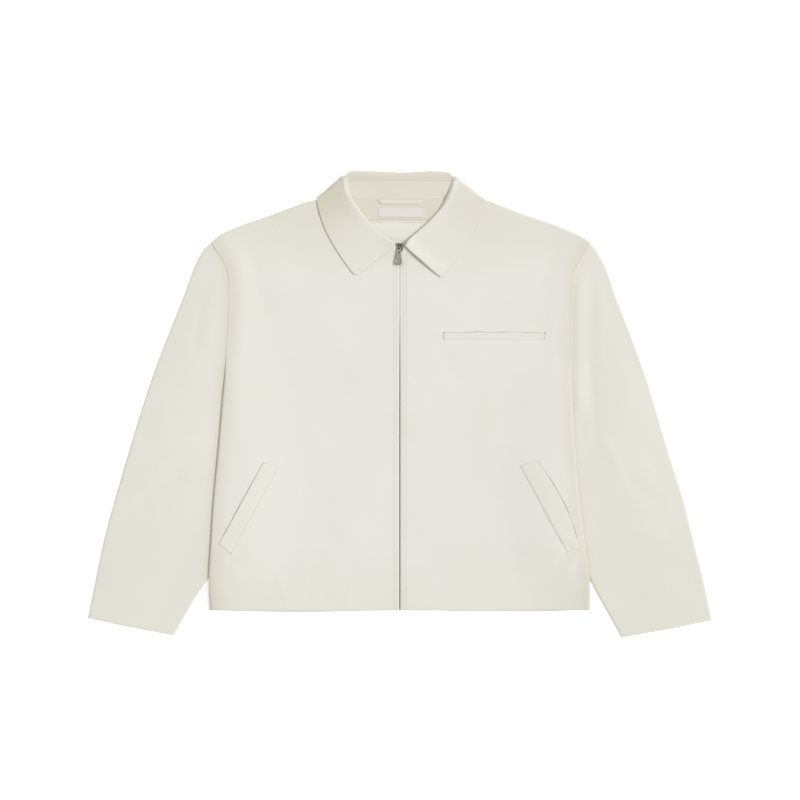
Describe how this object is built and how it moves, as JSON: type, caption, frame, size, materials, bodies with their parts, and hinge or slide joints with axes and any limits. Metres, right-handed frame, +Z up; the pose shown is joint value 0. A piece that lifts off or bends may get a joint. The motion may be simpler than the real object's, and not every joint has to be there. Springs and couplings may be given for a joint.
{
  "type": "zip jacket",
  "caption": "Short cream zip jacket laid flat, front up, with a turned-down collar, set-in sleeves, welt pockets and a zip pull tab that swings.",
  "frame": {"origin": "middle of the jacket's box, on the surface it lies on", "axes": "+X towards the wearer's left, +Y towards the collar, +Z up"},
  "size_m": [0.9664, 0.7184, 0.0127],
  "materials": {
    "shell": "matt cream cotton twill",
    "lining": "smooth pale lining",
    "trim": "woven label and zip tape",
    "zip_metal": "dark plate",
    "pull_metal": "satin nickel plate"
  },
  "bodies": {
    "jacket": {"back": "shell", "front_right": "shell", "front_left": "shell", "sleeve_right": "shell", "sleeve_left": "shell", "collar_leaf": "shell", "collar_stand": "shell", "back_neck_facing": "shell", "back_lining": "lining", "hanger_loop": "shell", "neck_label": "trim", "chest_welt": "shell", "pocket_welt_right": "shell", "pocket_welt_left": "shell", "zip_tape_right": "trim", "zip_tape_left": "trim", "zip_chain": "zip_metal", "zip_slider": "zip_metal"},
    "pull": {"pull_tab": "pull_metal"}
  },
  "joints": [
    {"name": "pull_swing", "type": "hinge", "parent": "jacket", "child": "pull", "pos_m": [0.0004, 0.2428, 0.0071], "axis": [-1, 0, 0], "range_deg": [0, 150]}
  ]
}
